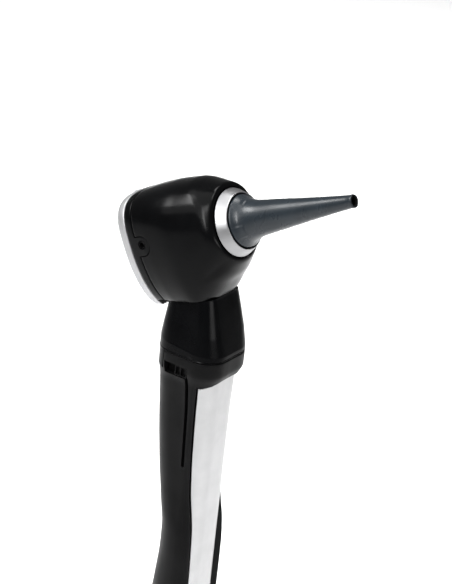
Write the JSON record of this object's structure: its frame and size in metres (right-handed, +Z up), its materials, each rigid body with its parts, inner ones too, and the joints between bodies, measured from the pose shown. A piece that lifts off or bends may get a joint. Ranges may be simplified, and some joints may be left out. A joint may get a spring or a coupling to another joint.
{
  "type": "otoscope",
  "caption": "Pocket otoscope with a slim battery handle, an angled magnifying head and a slender ear speculum.",
  "frame": {"origin": "centre of the handle's flat bottom face, on the handle's axis", "axes": "+Z up the handle, +X the way the speculum points, -Y the side with the air port and the slide switch; the pocket clip is on -X"},
  "size_m": [0.0769, 0.029, 0.1795],
  "materials": {
    "handle_chassis": "satin black moulded plastic",
    "grip_panel": "bead-blasted, clear anodised",
    "clip_pin": "ground",
    "switch_board": "printed circuit board",
    "battery_lower": "plain printed sleeve",
    "battery_upper": "plain printed sleeve",
    "upper_contact": "stamped",
    "contact_bush": "natural nylon",
    "socket_collar": "turned and plated",
    "contact_strip": "rolled strip",
    "pocket_clip": "satin black moulded plastic",
    "switch_slider": "ribbed black plastic",
    "end_cap": "satin black moulded plastic",
    "end_cap_seal": "soft black",
    "end_cap_contact": "stamped",
    "battery_spring": "drawn wire",
    "head_shell": "fine-grained black moulded plastic",
    "rear_frame": "black moulded plastic",
    "front_ring": "turned, fine lines",
    "speculum_seat": "black moulded plastic",
    "light_ring": "polished clear light pipe",
    "lamp_holder": "turned and plated",
    "lamp": "clear domed lamp",
    "light_guide": "polished clear light pipe",
    "neck_housing": "polished black moulded plastic",
    "coupling_plug": "turned and plated",
    "contact_insulator": "natural nylon",
    "contact_pin": "turned",
    "air_port": "dark moulded tube",
    "magnifier_pin": "turned rivet",
    "magnifier_frame": "satin silver",
    "magnifier_lens": "polished clear lens",
    "speculum": "thin moulded polypropylene, blue-grey"
  },
  "bodies": {
    "handle": {"handle_chassis": "handle_chassis", "grip_panel": "grip_panel", "clip_pin": "clip_pin", "switch_board": "switch_board", "battery_lower": "battery_lower", "battery_upper": "battery_upper", "upper_contact": "upper_contact", "contact_bush": "contact_bush", "socket_collar": "socket_collar", "contact_strip": "contact_strip"},
    "clip": {"pocket_clip": "pocket_clip"},
    "switch": {"switch_slider": "switch_slider"},
    "cap": {"end_cap": "end_cap", "end_cap_seal": "end_cap_seal", "end_cap_contact": "end_cap_contact", "battery_spring": "battery_spring"},
    "head": {"head_shell": "head_shell", "rear_frame": "rear_frame", "front_ring": "front_ring", "speculum_seat": "speculum_seat", "light_ring": "light_ring", "lamp_holder": "lamp_holder", "lamp": "lamp", "light_guide": "light_guide", "neck_housing": "neck_housing", "coupling_plug": "coupling_plug", "contact_insulator": "contact_insulator", "contact_pin": "contact_pin", "air_port": "air_port", "magnifier_pin": "magnifier_pin"},
    "magnifier": {"magnifier_frame": "magnifier_frame", "magnifier_lens": "magnifier_lens"},
    "speculum": {"speculum": "speculum"}
  },
  "joints": [
    {"name": "clip_hinge", "type": "hinge", "parent": "handle", "child": "clip", "pos_m": [-0.0084, 0, 0.1068], "axis": [0, 1, 0], "range_deg": [0, 5], "stiffness_Nm_per_rad": 0.3, "springref_deg": -5.73},
    {"name": "switch_slide", "type": "slide", "parent": "handle", "child": "switch", "axis": [-1, 0, 0], "range_m": [0, 0.0033]},
    {"name": "cap_turn", "type": "hinge", "parent": "handle", "child": "cap", "pos_m": [0.0022, 0, 0], "axis": [0, 0, 1], "range_deg": [0, 90]},
    {"name": "head_release", "type": "slide", "parent": "handle", "child": "head", "axis": [0, 0, 1], "range_m": [0, 0.014]},
    {"name": "speculum_release", "type": "slide", "parent": "head", "child": "speculum", "axis": [0.8988, 0, 0.4384], "range_m": [0, 0.02]},
    {"name": "magnifier_swing", "type": "hinge", "parent": "head", "child": "magnifier", "pos_m": [-0.02613, 0, 0.15737], "axis": [0.8988, 0, 0.4384], "range_deg": [0, 95]}
  ]
}
